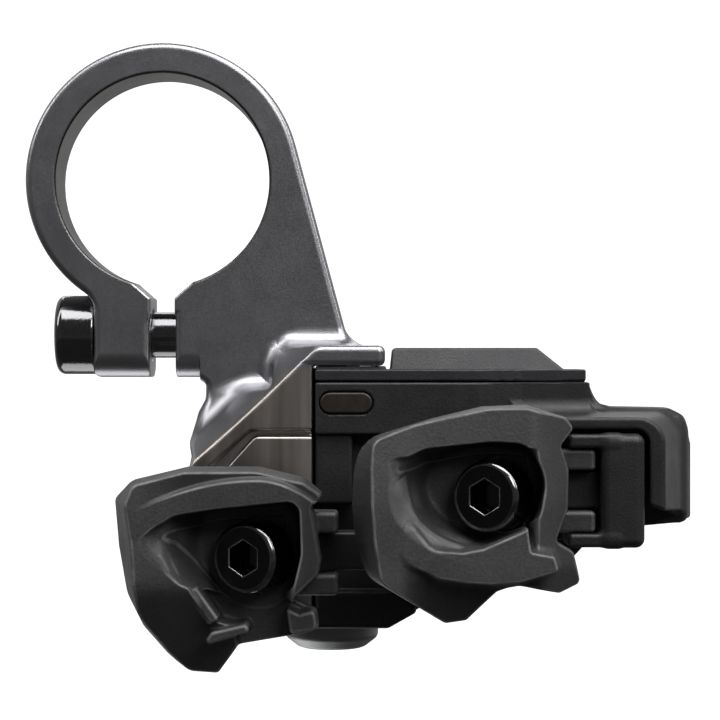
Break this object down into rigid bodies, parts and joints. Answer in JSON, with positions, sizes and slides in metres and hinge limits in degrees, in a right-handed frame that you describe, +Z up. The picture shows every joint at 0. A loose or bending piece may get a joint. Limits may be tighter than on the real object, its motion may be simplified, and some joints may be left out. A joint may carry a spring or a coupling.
{
  "type": "handlebar shift controller",
  "caption": "Handlebar-clamp wireless shift controller: split ring clamp, bracket foot, battery pod, sprung thumb paddles on hinged levers, function button and twist-off battery door.",
  "frame": {"origin": "point on the clamp band's inboard face, at the top of the band, midway through its wall; the handlebar's centre line is 12.7 mm below it and the band's mid-plane 4.5 mm outboard", "axes": "+Z up, away from the pod; +Y along the handlebar, from the grip side towards the stem; +X across the bar, from the clamp towards the guarded end of the pod"},
  "size_m": [0.0693, 0.0326, 0.0632],
  "materials": {
    "anodised_aluminium": "bead blasted and anodised grey",
    "black_steel": "black oxide, lightly oiled",
    "satin_steel": "satin",
    "housing_plastic": "fine moulded grain",
    "paddle_plastic": "soft textured grip finish",
    "lever_plastic": "smooth moulded",
    "rubber": "matt",
    "tinted_lens": "smoked translucent",
    "circuit_board": "solder mask",
    "nickel_shield": "nickel plated",
    "gold_contact": "gold flashed spring sheet",
    "bronze_bush": "sintered",
    "led_lens": "clear water white"
  },
  "bodies": {
    "pod": {"clamp_bracket": "anodised_aluminium", "clamp_bolt": "black_steel", "mounting_bolt": "satin_steel", "front_housing": "housing_plastic", "rear_cover": "housing_plastic", "cover_gasket": "rubber", "cover_screw_1": "black_steel", "cover_screw_2": "black_steel", "cover_screw_3": "black_steel", "cover_screw_4": "black_steel", "coin_cell": "nickel_shield", "negative_contact": "gold_contact", "positive_contact": "gold_contact", "main_board": "circuit_board", "radio_module": "nickel_shield", "antenna": "circuit_board", "function_board": "circuit_board", "function_switch": "nickel_shield", "status_led": "led_lens", "upper_switch": "nickel_shield", "upper_plunger_seal": "rubber", "upper_hinge_pin": "satin_steel", "upper_hinge_bush": "bronze_bush", "lower_switch": "nickel_shield", "lower_plunger_seal": "rubber", "lower_hinge_pin": "satin_steel", "lower_hinge_bush": "bronze_bush"},
    "upper_paddle_lever": {"upper_lever": "lever_plastic", "upper_paddle": "paddle_plastic", "upper_paddle_bolt": "black_steel", "upper_return_spring": "satin_steel"},
    "lower_paddle_lever": {"lower_lever": "lever_plastic", "lower_paddle": "paddle_plastic", "lower_paddle_bolt": "black_steel", "lower_return_spring": "satin_steel"},
    "upper_plunger_rod": {"upper_plunger": "satin_steel", "upper_switch_cap": "rubber"},
    "lower_plunger_rod": {"lower_plunger": "satin_steel", "lower_switch_cap": "rubber"},
    "function_key": {"function_button": "tinted_lens"},
    "battery_lid": {"battery_door": "housing_plastic", "door_seal": "rubber"}
  },
  "joints": [
    {"name": "upper_paddle_press", "type": "hinge", "parent": "pod", "child": "upper_paddle_lever", "pos_m": [0.0462, -0.0173, -0.0443], "axis": [0, 0, -1], "range_deg": [0, 5], "stiffness_Nm_per_rad": 0.02, "deforming": ["upper_return_spring"]},
    {"name": "lower_paddle_press", "type": "hinge", "parent": "pod", "child": "lower_paddle_lever", "pos_m": [0.028, -0.0173, -0.0505], "axis": [0, 0, -1], "range_deg": [0, 5], "stiffness_Nm_per_rad": 0.02, "deforming": ["lower_return_spring"]},
    {"name": "upper_plunger_slide", "type": "slide", "parent": "pod", "child": "upper_plunger_rod", "axis": [0, 1, 0], "range_m": [0, 0.0005]},
    {"name": "lower_plunger_slide", "type": "slide", "parent": "pod", "child": "lower_plunger_rod", "axis": [0, 1, 0], "range_m": [0, 0.0005]},
    {"name": "function_button_press", "type": "slide", "parent": "pod", "child": "function_key", "axis": [0, 1, 0], "range_m": [0, 0.00035]},
    {"name": "battery_door_twist", "type": "hinge", "parent": "pod", "child": "battery_lid", "pos_m": [0.0345, -0.0003, -0.0432], "axis": [0, 1, 0], "range_deg": [0, 45]}
  ],
  "couplings": [
    {"joint": "upper_plunger_slide", "follows": "upper_paddle_press", "m_per_rad": 0.0055},
    {"joint": "lower_plunger_slide", "follows": "lower_paddle_press", "m_per_rad": 0.0055}
  ]
}
